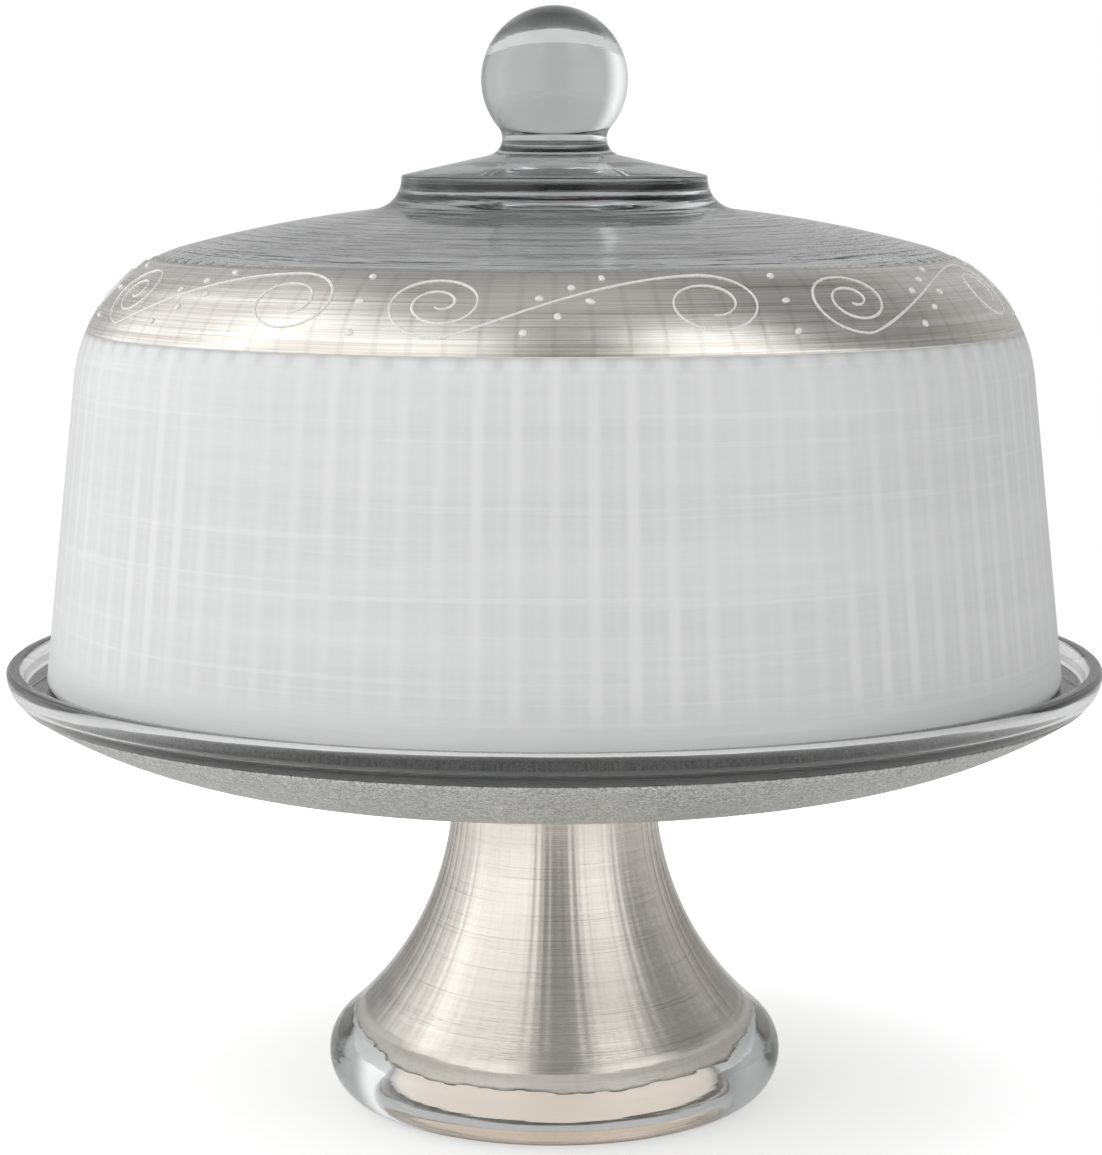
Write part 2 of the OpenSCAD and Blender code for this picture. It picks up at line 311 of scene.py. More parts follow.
def dome_glass():
    """The dome and its knob as one glass, with ribs inside the wall and the shoulder."""
    knob = arc(NECK_C, NECK_FILLET, 270 - COLLAR_FALL, NECK_TO_BALL, 16)
    knob += arc((0.0, KNOB_Z), KNOB_R, NECK_TO_BALL - 180, 90, 42)[1:]
    outer = arc(HEM_IN_C, HEM_IN, 180 + WALL_LEAN, 270, 4)
    outer += arc(HEM_OUT_C, HEM_OUT, -90, WALL_LEAN, 8)
    outer += wall_and_shoulder(0.0, CROWN_START, 8, 20)
    outer += arc(CROWN_C, CROWN_R, CROWN_START, CROWN_END, 8)[1:]
    outer += arc(FILLET_C, COLLAR_FILLET, 180 + CROWN_END, 180, 14)[1:]
    outer += arc(EDGE_C, COLLAR_EDGE, 0, 90 - COLLAR_FALL, 6)[1:]
    outer += between(outer[-1], knob[0], 4)
    ceiling = [(0.0, CROWN_C[1] + CROWN_R - DOME_T)]
    ceiling += arc(CROWN_C, CROWN_R - DOME_T, 90, CROWN_START, 10)
    ribbed = arc(SHOULDER_C, SHOULDER_R - DOME_T, CROWN_START, WALL_LEAN, 20)[1:]
    ribbed += between(ribbed[-1], outer[0], 18)
    plain = outer + knob + ceiling

    def ripple(k, r, z, a):
        if k < len(plain):
            return r, z
        height = RIB_PROUD * fade(z, RIB_START, RIB_FULL) * (1 - fade(z, RIB_FADE, RIB_END))
        deep = height * rib_shape(a, RIB_COUNT, RIB_HALF)
        tilt = math.atan2(z - SHOULDER_C[1], r - SHOULDER_C[0]) if z > SHOULDER_C[1] else 0.0
        return r - deep * math.cos(tilt), z - deep * math.sin(tilt)

    return lathe("dome_glass", plain + ribbed, ripple, RIB_ANGLES)


def white_coat():
    """White paint from the hem's rounding up to the silver band."""
    def skin(off):
        hem = arc(HEM_OUT_C, HEM_OUT + off, HEM_COAT_START, WALL_LEAN, 6)
        return hem + wall_and_shoulder(off, BAND_LOW, 10, 8)
    return lathe("white_coat", skin(COAT_T) + skin(-WETTED)[::-1], angles=RIB_ANGLES)


def band_coat():
    """Silver paint round the shoulder. Its outer face is flat between ribs, with a groove over each rib."""
    outer = arc(SHOULDER_C, SHOULDER_R + COAT_T, BAND_LOW, BAND_HIGH, 24)
    inner = arc(SHOULDER_C, SHOULDER_R - WETTED, BAND_HIGH, BAND_LOW, 24)

    def ripple(k, r, z, a):
        if k >= len(outer):
            return r, z
        inside = fade(z, BAND_EDGE_Z, BAND_EDGE_Z + BAND_SOFT_LOW)
        inside *= 1 - fade(z, BAND_TOP_Z - BAND_SOFT_HIGH, BAND_TOP_Z)
        flat = facet(a + 180.0 / RIB_COUNT, RIB_COUNT)
        return r * (1 + flat * inside) - BAND_GROOVE * inside * rib_shape(a, RIB_COUNT, RIB_HALF), z

    return lathe("band_coat", outer + inner, ripple, RIB_ANGLES)


# ---------------------------------------------------------------- plate and pedestal
def plate_glass():
    """The plate: a dished floor, a ledge for the dome, and a rim with a lip."""
    floor_z = PLATE_Z + PLATE_T
    profile = [(0.0, PLATE_Z), (PLATE_FLAT_R * 0.5, PLATE_Z)]
    profile += arc(UNDER_C, PLATE_ROUND, 270, 270 + PLATE_SWEEP, 24)
    profile += arc(RIM_C, RIM_ROUND, PLATE_SWEEP - 90, 0, 14)[1:]
    profile += arc(LIP_C, LIP_ROUND, 0, 90, 8)[1:]
    profile += arc(LIP_INNER_C, LIP_INNER, 90, 160, 4)
    profile += arc(COVE_C, COVE_ROUND, -20, -90, 8)
    profile += arc((LEDGE_R, SEAT_Z - LEDGE_ROUND), LEDGE_ROUND, 90, 170, 6)
    profile += arc(UNDER_C, PLATE_ROUND - PLATE_T, 270 + DISH_END, 270, 20)
    profile += [(PLATE_FLAT_R * 0.5, floor_z), (0.0, floor_z)]
    return lathe("plate_glass", profile)


def plate_speckle():
    """Paint under the plate, from the pedestal out to the rim."""
    inner_r = WAIST_R + TOP_FILLET + 1 * MM
    low = [(inner_r, PLATE_Z - COAT_T)] + arc(UNDER_C, PLATE_ROUND + COAT_T, 270, 270 + PLATE_SWEEP, 28)
    high = arc(UNDER_C, PLATE_ROUND - WETTED, 270 + PLATE_SWEEP, 270, 28) + [(inner_r, PLATE_Z + WETTED)]
    return lathe("plate_speckle", low + high)


def flute(a, z):
    """How far the hollow's wall swells outwards at angle a and height z. It has flat sides, with a low rib at
    each corner."""
    shape = FLUTE_FLAT * facet(a, FLUTE_COUNT)
    shape -= FLUTE_SWELL * rib_shape(a + 180.0 / FLUTE_COUNT, FLUTE_COUNT, FLUTE_HALF)
    return shape * fade(z, THROAT_Z, THROAT_Z + FLUTE_RISE) * (1 - fade(z, WAIST_Z - FLUTE_END, WAIST_Z))


def hollow_arc(off):
    """The hollow's wall from the throat up to the waist, off outside it."""
    return arc(HOLLOW_C, HOLLOW_R - off, 180 + HOLLOW_END, 180, 28)


def pedestal_glass():
    """The hollow pedestal: a flare under the plate that ends in the foot's thick bead."""
    top = PLATE_Z - PLATE_GAP
    outer = [(0.0, top), (WAIST_R + TOP_FILLET + TOP_FILLET * cos(TOP_SWEEP), top)]
    outer += arc((WAIST_R + TOP_FILLET, WAIST_Z - PLATE_GAP), TOP_FILLET, TOP_SWEEP, 180, 12)
    outer += arc(FLARE_C, FLARE_R, 180, 180 + FLARE_END, 36)[1:]
    outer += arc(BEAD_C, BEAD_R, FLARE_END, BEAD_END, 30)[1:]
    outer += arc((MOUTH_R + MOUTH_ROUND, MOUTH_ROUND), MOUTH_ROUND, 270, 180, 5)
    hollow = hollow_arc(0)
    hollow = between(outer[-1], hollow[0], 8) + hollow
    hollow += arc((HOLLOW_WAIST - ROOF_ROUND, WAIST_Z), ROOF_ROUND, 0, 90, 6)[1:]
    hollow += [(0.0, WAIST_Z + ROOF_ROUND)]

    def ripple(k, r, z, a):
        return (r, z) if k < len(outer) else (r + flute(a, z), z)

    return lathe("pedestal_glass", outer + hollow, ripple, FLUTE_ANGLES)


def flare_paint():
    """Paint inside the flare. It runs on past the throat, down the straight mouth, to a brushed edge."""
    throat, mouth = (THROAT_R, THROAT_Z), (MOUTH_R, MOUTH_ROUND)
    length = math.dist(throat, mouth)
    along = ((mouth[0] - throat[0]) / length, (mouth[1] - throat[1]) / length)
    steps = 6

    def down(side):
        """Points down the mouth's wall, side inside it."""
        start = (throat[0] + along[1] * side, throat[1] - along[0] * side)
        ways = [PAINT_DROP * i / steps for i in range(1, steps + 1)]
        return [(start[0] + along[0] * way, start[1] + along[1] * way) for way in ways]

    glass_side = hollow_arc(WETTED)[::-1] + down(-WETTED)
    air_side = down(COAT_T)[::-1] + hollow_arc(-COAT_T)[1:]

    def ripple(k, r, z, a):
        wave = sum(share * sin(waves * a + phase) for waves, phase, share in EDGE_WAVES)
        edge = EDGE_WAVE * wave * (1 - fade(z, THROAT_Z - PAINT_DROP, THROAT_Z))
        return r + flute(a, z) + along[0] * edge, z + along[1] * edge

    return lathe("flare_paint", glass_side + air_side, ripple, FLUTE_ANGLES)


# ---------------------------------------------------------------- raised liner
MOTIFS = 7
MOTIF_TURN = 2.4                     # where the middle of the first motif faces
BAND_MID = 45                        # the scrolls' middle line on the shoulder's arc
BAND_R = SHOULDER_R + COAT_T
MID_R = SHOULDER_C[0] + BAND_R * cos(BAND_MID)
SPIRAL_U = 34.7 * MM                 # from a motif's middle out to each spiral's centre
SPIRAL_R = 14.3 * MM
SPIRAL_SQUASH = 0.75                 # height of a spiral for its width
FADE_TURNS = 2.4                     # turns after which a spiral would reach its centre
LEFT_TURNS = 2.1
RIGHT_TURNS = 1.5
TAIL_LEFT = 8 * MM                   # how far the tail follows each spiral's direction as it leaves
TAIL_RIGHT = 28 * MM

LINE_W = 0.9 * MM
LINE_H = 0.45 * MM
LINE_SIDES = 7                       # facets of the half-round stroke
LINE_SUNK = 0.04 * MM                # how deep a stroke starts in the band's paint
TAPER_END = 0.45                     # share of the size that is left at a stroke's very end
TAPER_STEPS = 9.0                    # points over which the whole size would be lost
WIDE_MEAN = 0.78                     # mean share of the full width
WIDE_WAVER = ((0.16, 0.21, 1), (0.08, 0.57, 2))      # each waver's share, speed along the stroke and phase
HIGH_MEAN = 0.9                      # the same for the height, which has one waver
HIGH_WAVER = (0.1, 0.33)

# Rows of three dots: one row above the tail, one below it and one at the motif's edge. Each is its middle dot
# and the step to the next dot, both across and up, in millimetres.
MOTIF_EDGE = math.pi / MOTIFS * MID_R / MM
DOT_ROWS = (((-0.9, 5.9), (8.3, 4.0)), ((-4.6, -4.0), (8.3, 4.9)), ((MOTIF_EDGE, 0.3), (0.0, 9.7)))
DOT_WIDE = (1.0, 1.3)                # least and most half width of a dot, in millimetres
DOT_TALL = (0.85, 1.1)               # the same for its half height
DOT_LOBES = (0.0, 0.0, 0.22)         # one dot in three is drawn out by a second touch
DOT_DOME = 0.7 * MM                  # height of a dot, from where it starts in the band's paint
DOT_SUNK = 0.05 * MM
DOT_RINGS = 5
DOT_SIDES = 18


def band_frame(u, v, turn):
    """The place u across and v up on the band, and the outward, around and up directions there."""
    a = math.degrees(u / MID_R) + turn
    b = BAND_MID + math.degrees(v / BAND_R)
    r, z = out_from(SHOULDER_C, BAND_R, b)
    at = (r * sin(a), -r * cos(a), z)
    out = (cos(b) * sin(a), -cos(b) * cos(a), sin(b))
    around = (cos(a), sin(a), 0.0)
    up = (-sin(b) * sin(a), sin(b) * cos(a), cos(b))
    return at, out, around, up


def offset(place, across, above, outwards):
    """A point beside a place on the band."""
    at, out, around, up = place
    return tuple(at[j] + around[j] * across + up[j] * above + out[j] * outwards for j in range(3))


def motif_turns():
    """Where each motif's middle faces."""
    return [MOTIF_TURN + m * 360.0 / MOTIFS for m in range(MOTIFS)]


def spiral(cu, start, turns, n):
    """A squashed spiral that winds inwards about cu from direction start."""
    pts = []
    for i in range(n + 1):
        t = turns * i / n
        r = SPIRAL_R * (1 - t / FADE_TURNS)
        pts.append((cu + r * cos(start - 360 * t), SPIRAL_SQUASH * r * sin(start - 360 * t)))
    return pts


def motif_path():
    """One motif's line: out of the left spiral, along the tail and into the right spiral."""
    left = spiral(-SPIRAL_U, -90, LEFT_TURNS, 110)[::-1]
    right = spiral(SPIRAL_U, 90, RIGHT_TURNS, 80)
    a, d = left[-1], right[0]
    b, c = (a[0] + TAIL_LEFT, a[1]), (d[0] - TAIL_RIGHT, d[1])
    tail = []
    n = 36
    for i in range(1, n):
        t = i / n
        s = 1 - t
        weights = (s ** 3, 3 * s * s * t, 3 * s * t * t, t ** 3)
        tail.append(tuple(sum(w * p[j] for w, p in zip(weights, (a, b, c, d))) for j in (0, 1)))
    return left + tail + right


def scroll_strokes():
    """Raised half-round strokes: the liner's width and height waver a little, and both ends taper."""
    verts, faces = [], []
    path = motif_path()
    last = len(path) - 1
    ring = LINE_SIDES + 1
    for turn in motif_turns():
        phase = random.uniform(0, 10)
        base = len(verts)
        for i, (u, v) in enumerate(path):
            before, after = path[max(i - 1, 0)], path[min(i + 1, last)]
            du, dv = after[0] - before[0], after[1] - before[1]
            size = math.hypot(du, dv)
            end = min(1.0, TAPER_END + min(i, last - i) / TAPER_STEPS)
            waver = sum(share * math.sin(i * speed + times * phase) for share, speed, times in WIDE_WAVER)
            width = LINE_W * end * (WIDE_MEAN + waver)
            height = LINE_H * end * (HIGH_MEAN + HIGH_WAVER[0] * math.sin(i * HIGH_WAVER[1] + phase))
            place = band_frame(u, v, turn)
            for k in range(ring):
                a = 180.0 * k / LINE_SIDES
                s = width / 2 * cos(a)
                verts.append(offset(place, -dv / size * s, du / size * s, height * sin(a) - LINE_SUNK))
        for i in range(last):
            for k in range(ring):
                p, q = base + i * ring + k, base + i * ring + (k + 1) % ring
                faces.append([p, q, q + ring, p + ring])
        faces.append([base + k for k in range(ring)][::-1])
        faces.append([base + last * ring + k for k in range(ring)])
    return mesh_piece("scroll_strokes", verts, faces)


def scroll_beads():
    """Dots of thick liner, none quite round, and some laid as a double touch."""
    spots = [((m[0] + k * s[0]) * MM, (m[1] + k * s[1]) * MM) for m, s in DOT_ROWS for k in (-1, 0, 1)]
    verts, faces = [], []
    sides = DOT_SIDES
    for turn in motif_turns():
        for u, v in spots:
            wide, tall = random.uniform(*DOT_WIDE) * MM, random.uniform(*DOT_TALL) * MM
            lobe, lean = random.choice(DOT_LOBES), random.uniform(0, 180)
            place = band_frame(u, v, turn)
            base = len(verts)
            for j in range(DOT_RINGS):
                b = 90.0 * j / DOT_RINGS
                for i in range(sides):
                    a = 360.0 * i / sides
                    swell = cos(b) * (1 + lobe * cos(2 * (a - lean)))
                    across, above = wide * cos(a) * swell, tall * sin(a) * swell
                    verts.append(offset(place, across, above, DOT_DOME * sin(b) - DOT_SUNK))
            pole = len(verts)
            verts.append(offset(place, 0, 0, DOT_DOME - DOT_SUNK))
            for j in range(DOT_RINGS - 1):
                for i in range(sides):
                    p, q = base + j * sides + i, base + j * sides + (i + 1) % sides
                    faces.append([p, q, q + sides, p + sides])
            top = base + (DOT_RINGS - 1) * sides
            faces += [[top + i, top + (i + 1) % sides, pole] for i in range(sides)]
            faces.append([base + i for i in range(sides)][::-1])
    return mesh_piece("scroll_beads", verts, faces)


# ---------------------------------------------------------------- node helpers
class Nodes:
    """A small builder of shader nodes. A value that is a socket is linked, and any other is set."""

    def __init__(self, tree):
        self.tree = tree
        self.tree.nodes.clear()

    def set(self, socket, value):
        if isinstance(value, bpy.types.NodeSocket):
            self.tree.links.new(value, socket)
        else:
            socket.default_value = value

    def add(self, kind, inputs=None, **settings):
        node = self.tree.nodes.new("ShaderNode" + kind)
        for key, value in settings.items():
            setattr(node, key, value)
        for key, value in (inputs or {}).items():
            self.set(node.inputs[key], value)
        return node

    def math(self, operation, a, b=0.0):
        return self.add("Math", {0: a, 1: b}, operation=operation).outputs[0]

    def plus(self, *terms):
        total = terms[0]
        for term in terms[1:]:
            total = self.math("ADD", total, term)
        return total

    def times(self, *factors):
        product = factors[0]
        for factor in factors[1:]:
            product = self.math("MULTIPLY", product, factor)
        return product

    def ramp(self, value, a, b, low=0.0, high=1.0):
        """Goes smoothly from low at a to high at b."""
        inputs = {"Value": value, "From Min": a, "From Max": b, "To Min": low, "To Max": high}
        return self.add("MapRange", inputs, interpolation_type="SMOOTHSTEP").outputs[0]

    def noise(self, vector, scale, detail=3.0, roughness=0.55):
        inputs = {"Vector": vector, "Scale": scale, "Detail": detail, "Roughness": roughness}
        return self.add("TexNoise", inputs).outputs["Fac"]

    def mix(self, factor, a, b):
        """Colour a at factor 0 and colour b at factor 1."""
        node = self.add("Mix", {"Factor": factor, 6: a, 7: b}, data_type="RGBA")
        return node.outputs[2]

    def place(self):
        return self.add("TexCoord").outputs["Object"]

    def xyz(self):
        return self.add("SeparateXYZ", {0: self.place()}).outputs

    def stretched(self, x, y, z):
        """Object coordinates, scaled along each axis."""
        return self.add("Mapping", {"Vector": self.place(), "Scale": (x, y, z)}).outputs[0]

    def rings(self, around, across):
        """Coordinates that change slowly round Z and fast along a turned profile."""
        x, y, z = self.xyz()
        r = self.math("SQRT", self.plus(self.times(x, x), self.times(y, y)))
        along = self.times(self.math("SUBTRACT", z, r), across)
        inputs = {0: self.times(x, around), 1: self.times(y, around), 2: along}
        return self.add("CombineXYZ", inputs).outputs[0]

    def lines(self, count, near, far, phase=0.0):
        """Upright lines, count of them round Z: 1 up to near from a line's middle and 0 beyond far, both as
        shares of the pitch. phase moves them round by such a share."""
        x, y, z = self.xyz()
        turns = self.times(self.math("ARCTAN2", x, self.times(y, -1.0)), count / (2 * math.pi))
        part = self.math("FRACT", self.plus(turns, count + 0.5 + phase))
        return self.ramp(self.math("ABSOLUTE", self.math("SUBTRACT", part, 0.5)), near, far, 1.0, 0.0)

    def bump(self, height, distance, strength):
        return self.add("Bump", {"Height": height, "Distance": distance, "Strength": strength}).outputs[0]

    def link(self, value, socket, node=None):
        """Feeds an input of the material's shader, or of another node."""
        self.tree.links.new(value, (node or self.shader).inputs[socket])


def material(name, **sockets):
    """A material with one Principled shader, and the builder of its nodes. Each keyword is a socket's name,
    with _ for a space."""
    mat = bpy.data.materials.new(name)
    mat.use_nodes = True
    n = Nodes(mat.node_tree)
    n.shader = n.add("BsdfPrincipled", {key.replace("_", " "): value for key, value in sockets.items()})
    n.out = n.add("OutputMaterial", {"Surface": n.shader.outputs[0]})
    return mat, n


def colour(r, g, b):
    return (r, g, b, 1.0)


# ---------------------------------------------------------------- materials
WHITE = colour(1, 1, 1)
GLASS_TINT = colour(0.48, 0.55, 0.54)
GLASS_DENSITY = 9.0                  # how fast light takes the tint, for each metre

PANEL_DARK = colour(0.75, 0.76, 0.755)
PANEL_LIGHT = colour(0.80, 0.81, 0.805)
RIB_WHITE = colour(0.885, 0.89, 0.885)
STROKE_WHITE = colour(0.89, 0.895, 0.895)
TICK_GREY = colour(0.50, 0.50, 0.49)
RIB_LINE = 0.8                       # strengths of the lines at the ribs, their faint doubles and the ticks
RIB_DOUBLE = 0.30
TICK = 0.28
FINE_STROKE = 0.25                   # strengths of the fine and the broad brush strokes
BROAD_STROKE = 0.40

SPECKLE_DARK = colour(0.34, 0.35, 0.34)
SPECKLE_LIGHT = colour(0.80, 0.80, 0.77)
SPECKLE_CLOUD = colour(0.58, 0.58, 0.55)
LINER_DARK = colour(0.84, 0.83, 0.79)
LINER_LIGHT = colour(0.95, 0.945, 0.92)

SCRATCH = 0.42                       # strength of the scratches in the metallic paints
SCRATCH_AND_SHADE_TONE = 0.55                  # tone of the scratches and of the painted rib shade, as a share of the paint's darker one


def glass_material():
    """Smoke-grey pressed glass. Its skin waves faintly, as pressed glass does."""
    mat, n = material("smoke_glass_look", Base_Color=WHITE, Roughness=0.0, IOR=1.5, Transmission_Weight=1.0)
    draw = n.noise(n.rings(9, 260), 1.0)
    n.link(n.bump(draw, 0.22 * MM, 0.5), "Normal")
    depth = n.add("VolumeAbsorption", {"Color": GLASS_TINT, "Density": GLASS_DENSITY})
    n.link(depth.outputs[0], "Volume", n.out)
    return mat


def frost_material():
    """White translucent paint, brushed round the wall. The ribs behind it show as soft paired lines, and the
    gaps between them as short grey ticks under the silver band."""
    mat, n = material("frost_look", Roughness=0.36, IOR=1.45)
    z = n.xyz()[2]

    broad = n.noise(n.stretched(5, 5, 70), 1.0)
    panel = n.mix(n.ramp(broad, 0.35, 0.65), PANEL_DARK, PANEL_LIGHT)

    double = n.times(n.lines(RIB_COUNT, 0.0325, 0.13, 0.42), RIB_DOUBLE)
    lines = n.math("MAXIMUM", n.lines(RIB_COUNT, 0.0625, 0.25), double)
    wander = n.noise(n.stretched(1, 1, 0.35), 24.0, 2.0)
    line = n.times(lines, n.ramp(wander, 0.32, 0.68, 0.35, 1.0), n.ramp(z, SEAT_Z + 7 * MM, SEAT_Z + 17 * MM))
    ribbed = n.mix(n.times(line, RIB_LINE), panel, RIB_WHITE)

    brush = n.noise(n.stretched(4, 4, 1300), 1.0, 4.0, 0.7)
    streak = n.noise(n.stretched(5, 5, 430), 1.0, 2.0)
    fine = n.times(n.ramp(brush, 0.45, 0.8), FINE_STROKE)
    wide = n.times(n.ramp(streak, 0.58, 0.70), BROAD_STROKE)
    brushed = n.mix(n.math("MAXIMUM", fine, wide), ribbed, STROKE_WHITE)

    edge = n.ramp(z, BAND_EDGE_Z - 4.5 * MM, BAND_EDGE_Z - 1.5 * MM)
    tick = n.times(edge, n.lines(RIB_COUNT, 0.06, 0.24, 0.5), TICK)
    n.link(n.mix(tick, brushed, TICK_GREY), "Base Color")
    n.link(n.bump(brush, 0.1 * MM, 0.3), "Normal")
    return mat


def metal_material(name, dark, light, rough, line_scale, bump_depth, count, rib_shade_strength):
    """Metallic paint brushed round the axis: fine level lines in its colour, gloss and surface. Painted shade:
    a darker line, of strength rib_shade_strength, stands at each of count ribs for the ribs' dark reflections."""
    mat, n = material(name, Metallic=1.0)
    fine = n.noise(n.rings(5, line_scale), 1.0, 5.0, 0.75)
    wide = n.noise(n.rings(8, line_scale * 0.12), 1.0)
    both = n.plus(n.times(fine, 0.6), n.times(wide, 0.4))
    base = n.mix(n.ramp(both, 0.30, 0.62), dark, light)
    scratch = n.ramp(n.noise(n.rings(14, line_scale * 0.6), 1.0, 2.0, 0.4), 0.64, 0.71)
    low = colour(*(c * SCRATCH_AND_SHADE_TONE for c in dark[:3]))
    scratched = n.mix(n.times(scratch, SCRATCH), base, low)
    # Painted shade: a darker line at each rib, in place of the dark reflections off the ribs' flanks.
    rib_shaded = n.mix(n.times(n.lines(count, 0.03, 0.16), rib_shade_strength), scratched, low)
    n.link(rib_shaded, "Base Color")
    n.link(n.ramp(fine, 0.3, 0.7, rough - 0.06, rough + 0.08), "Roughness")
    n.link(n.bump(fine, bump_depth, 0.6), "Normal")
    return mat


def silver_material():
    dark, light = colour(0.58, 0.54, 0.47), colour(0.93, 0.91, 0.87)
    # The last number is the strength of the painted rib shade.
    return metal_material("silver_look", dark, light, 0.20, 2300, 0.06 * MM, RIB_COUNT, 0.13)


def champagne_material():
    dark, light = colour(0.74, 0.68, 0.61), colour(0.86, 0.805, 0.74)
    # The last number is the strength of the painted rib shade.
    return metal_material("champagne_look", dark, light, 0.17, 3200, 0.03 * MM, FLUTE_COUNT, 0.06)


def speckle_material():
    """Silver-grey paint that dried in grains."""
    mat, n = material("speckle_look", Metallic=0.75)
    grain = n.noise(n.place(), 1500.0, 3.0, 0.7)
    flake = n.add("TexVoronoi", {"Vector": n.place(), "Scale": 2100.0}, feature="F1").outputs["Color"]
    cell = n.add("SeparateColor", {0: flake}).outputs[0]
    tone = n.plus(n.times(cell, 0.55), n.times(grain, 0.45))
    base = n.mix(n.ramp(tone, 0.25, 0.75), SPECKLE_DARK, SPECKLE_LIGHT)
    cloud = n.ramp(n.noise(n.place(), 60.0), 0.3, 0.7, 0.0, 0.3)
    n.link(n.mix(cloud, base, SPECKLE_CLOUD), "Base Color")
    n.link(n.ramp(grain, 0.3, 0.7, 0.35, 0.6), "Roughness")
    n.link(n.bump(tone, 0.5 * MM, 0.5), "Normal")
    return mat


def liner_material():
    """Thick pearl-white liner, glossy where it is smooth."""
    mat, n = material("liner_look", IOR=1.5, Coat_Weight=0.3, Coat_Roughness=0.2)
    grain = n.noise(n.place(), 1400.0)
    n.link(n.mix(n.ramp(grain, 0.35, 0.65), LINER_DARK, LINER_LIGHT), "Base Color")
    n.link(n.ramp(grain, 0.3, 0.7, 0.25, 0.42), "Roughness")
    n.link(n.bump(grain, 0.1 * MM, 0.4), "Normal")
    return mat


GLASS = glass_material()
FROST = frost_material()
SILVER = silver_material()
CHAMPAGNE = champagne_material()
SPECKLE = speckle_material()
LINER = liner_material()

PIECES = (
    (dome_glass(), ("dome_bell", "ball_knob"), "dome", "smoke_glass", GLASS),
    (white_coat(), ("frost_coat",), "dome", "frost_paint", FROST),
    (band_coat(), ("silver_band",), "dome", "silver_paint", SILVER),
    (scroll_strokes(), ("scroll_lines",), "dome", "pearl_liner", LINER),
    (scroll_beads(), ("scroll_dots",), "dome", "pearl_liner", LINER),
    (plate_glass(), ("cake_plate",), "stand", "smoke_glass", GLASS),
    (plate_speckle(), ("plate_undercoat",), "stand", "speckle_paint", SPECKLE),
    (pedestal_glass(), ("pedestal",), "stand", "smoke_glass", GLASS),
    (flare_paint(), ("pedestal_coat",), "stand", "champagne_paint", CHAMPAGNE),
)
for piece, nodes, body, slot, look in PIECES:
    piece.data.materials.append(look)
    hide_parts(*nodes)
    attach(piece, body)


# ---------------------------------------------------------------- studio
WORLD_BASE = 0.30                    # grey light from everywhere
WORLD_BACK = 0.22                    # more of it from the backdrop behind
WORLD_ZENITH = 0.20

# A light between two azimuths, counted from the camera's side and positive to its right: where it starts,
# where it is full, where it starts to end, where it ends, and its strength. The tall ones reach from the
# floor to near the zenith.
TALL_LIGHTS = ((-112, -84, -28, -6, 0.85), (14, 36, 58, 86, 0.60), (-150, -128, -96, -76, 0.72))
LOW_LIGHTS = ((-90, -70, -30, -10, 0.15), (8, 30, 70, 96, 0.30))
HIGH_LIGHTS = ((-75, -50, -30, -8, 0.15), (18, 34, 54, 72, 0.60), (-30, -8, 12, 34, 0.08))

# Each pair is the heights, as the sine of the rise, between which a light fades.
LIGHT_TOP = (0.78, 0.97)
LOW_TOP = (0.24, 0.38)
HIGH_FOOT = (0.50, 0.62)
BACK_TOP = (0.50, 0.85)
ZENITH_FOOT = (0.88, 0.99)
BACK_SIDE = (0.30, 0.80)             # how far towards the back the backdrop's light starts and is full

FLOOR_R = 0.9
FLOOR_RINGS = 30
FLOOR_STEPS = 96
FLOOR_GREY = colour(0.86, 0.86, 0.86)
FLOOR_GLOW = 0.15                    # light that the floor sends back to the object
HOLLOW_GLOW = 0.36                   # more of it under the foot: a warm painted pool of light inside the hollow
HOLLOW_GLOW_TINT = colour(1.0, 0.90, 0.80)
HOLLOW_GLOW_EDGE = (48 * MM, 54 * MM)
WHITE_FROM = (80 * MM, 300 * MM)     # where the floor that is seen starts to brighten and is white
WHITE_LOW = 0.50


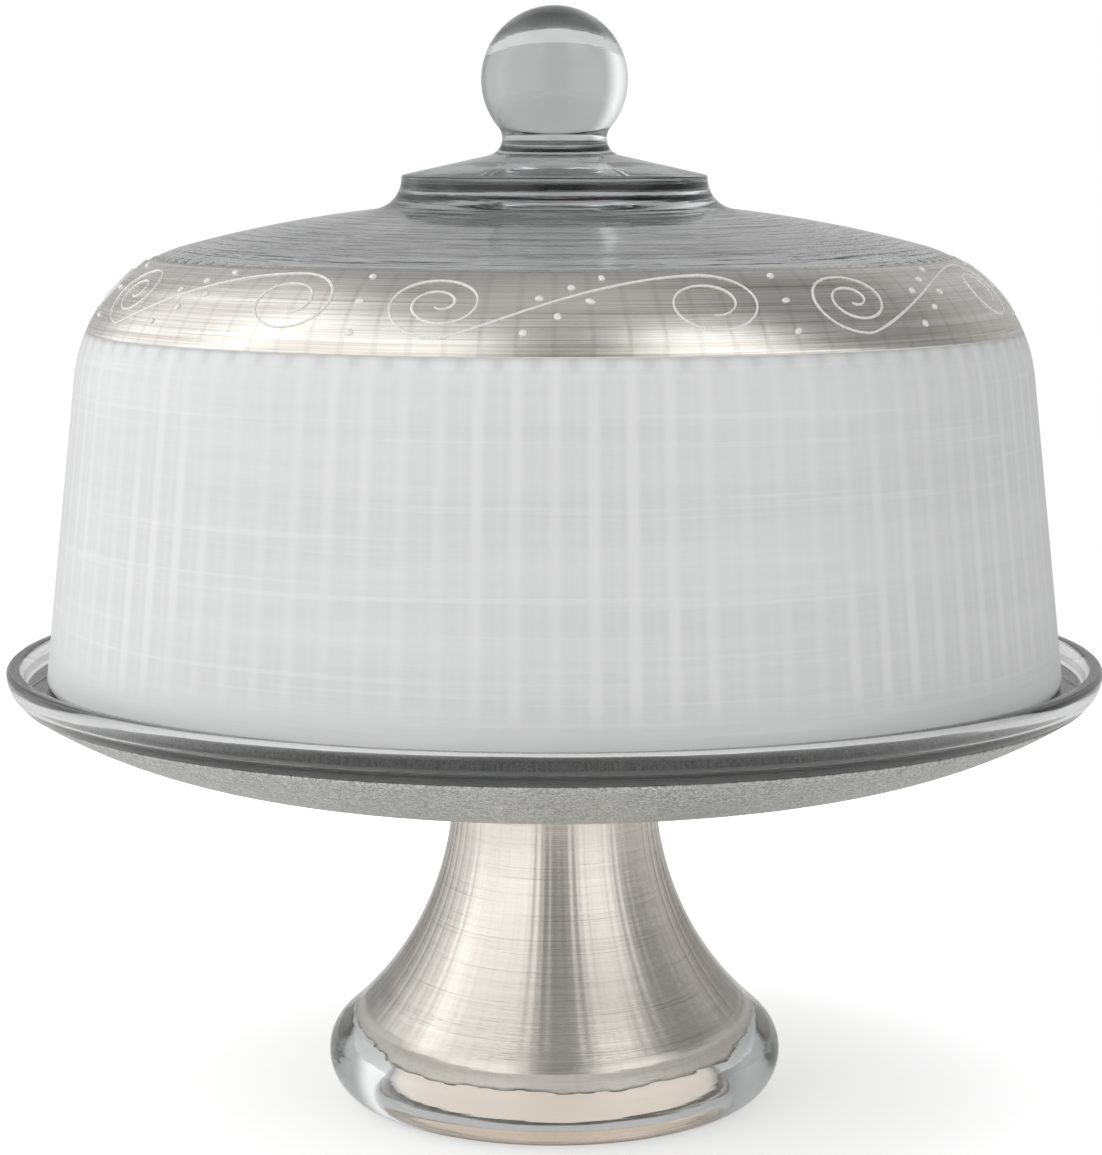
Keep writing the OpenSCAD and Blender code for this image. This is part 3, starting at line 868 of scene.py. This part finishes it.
def make_floor():
    """A plain pale disc that brightens outwards, so that it has no visible end. Under the foot it glows warm,
    as a painted pool of light.
    """
    verts = [(0, 0, 0)]
    for i in range(1, FLOOR_RINGS + 1):
        turns = [360 * k / FLOOR_STEPS for k in range(FLOOR_STEPS)]
        verts += [(*out_from((0, 0), FLOOR_R * i / FLOOR_RINGS, a), 0) for a in turns]
    pairs = [(k, (k + 1) % FLOOR_STEPS) for k in range(FLOOR_STEPS)]
    faces = [[0, 1 + k, 1 + j] for k, j in pairs]
    for i in range(FLOOR_RINGS - 1):
        a, b = 1 + i * FLOOR_STEPS, 1 + (i + 1) * FLOOR_STEPS
        faces += [[a + k, b + k, b + j, a + j] for k, j in pairs]
    mesh = bpy.data.meshes.new("floor")
    mesh.from_pydata(verts, [], faces)
    mat, n = material("floor_look", Base_Color=FLOOR_GREY, Roughness=0.8)
    away = n.add("VectorMath", {0: n.place()}, operation="LENGTH").outputs["Value"]
    seen = n.times(n.add("LightPath").outputs["Is Camera Ray"], n.ramp(away, *WHITE_FROM, WHITE_LOW, 1.0))
    # Painted light: the floor under the foot glows warm, as a pool of light inside the hollow.
    inside = n.ramp(away, *HOLLOW_GLOW_EDGE, 1.0, 0.0)
    under = n.plus(n.times(inside, HOLLOW_GLOW), FLOOR_GLOW)
    strength = n.math("MAXIMUM", seen, under)
    glow = n.add("Emission", {"Color": n.mix(inside, WHITE, HOLLOW_GLOW_TINT), "Strength": strength})
    both = n.add("AddShader", {0: n.shader.outputs[0], 1: glow.outputs[0]})
    n.link(both.outputs[0], "Surface", n.out)
    mesh.materials.append(mat)
    add_object("floor", mesh)


def make_world():
    """Soft studio light as a function of direction: tall lights on both sides, others low and high, a pale
    backdrop behind and grey elsewhere. The background itself is plain white."""
    world = bpy.data.worlds.new("studio")
    bpy.context.scene.world = world
    world.use_nodes = True
    n = Nodes(world.node_tree)
    x, y, z = n.add("SeparateXYZ", {0: n.add("TexCoord").outputs["Generated"]}).outputs
    turn = n.times(n.math("ARCTAN2", x, n.times(y, -1.0)), 180 / math.pi)
    below_top = n.ramp(z, *LIGHT_TOP, 1.0, 0.0)

    def lobes(lights):
        """The sum of these lights, each with soft edges."""
        parts = [n.times(n.ramp(turn, near, full), n.ramp(turn, hold, far, 1.0, 0.0), below_top, strength)
                 for near, full, hold, far, strength in lights]
        return n.plus(*parts)

    low = n.times(lobes(LOW_LIGHTS), n.ramp(z, *LOW_TOP, 1.0, 0.0))
    high = n.times(lobes(HIGH_LIGHTS), n.ramp(z, *HIGH_FOOT))
    back = n.times(n.ramp(y, *BACK_SIDE), n.ramp(z, *BACK_TOP, 1.0, 0.0), WORLD_BACK)
    zenith = n.ramp(z, *ZENITH_FOOT, 0.0, WORLD_ZENITH)
    bright = n.plus(lobes(TALL_LIGHTS), low, high, zenith, back, WORLD_BASE)
    value = n.math("MAXIMUM", n.add("LightPath").outputs["Is Camera Ray"], bright)
    grey = n.add("CombineColor", {0: value, 1: value, 2: value}).outputs[0]
    sky = n.add("Background", {"Color": grey, "Strength": 1.0})
    n.add("OutputWorld", {"Surface": sky.outputs[0]})


make_floor()
make_world()

scene = bpy.context.scene
scene.view_settings.view_transform = "Standard"
scene.cycles.max_bounces = 24
scene.cycles.transmission_bounces = 24
scene.cycles.glossy_bounces = 12
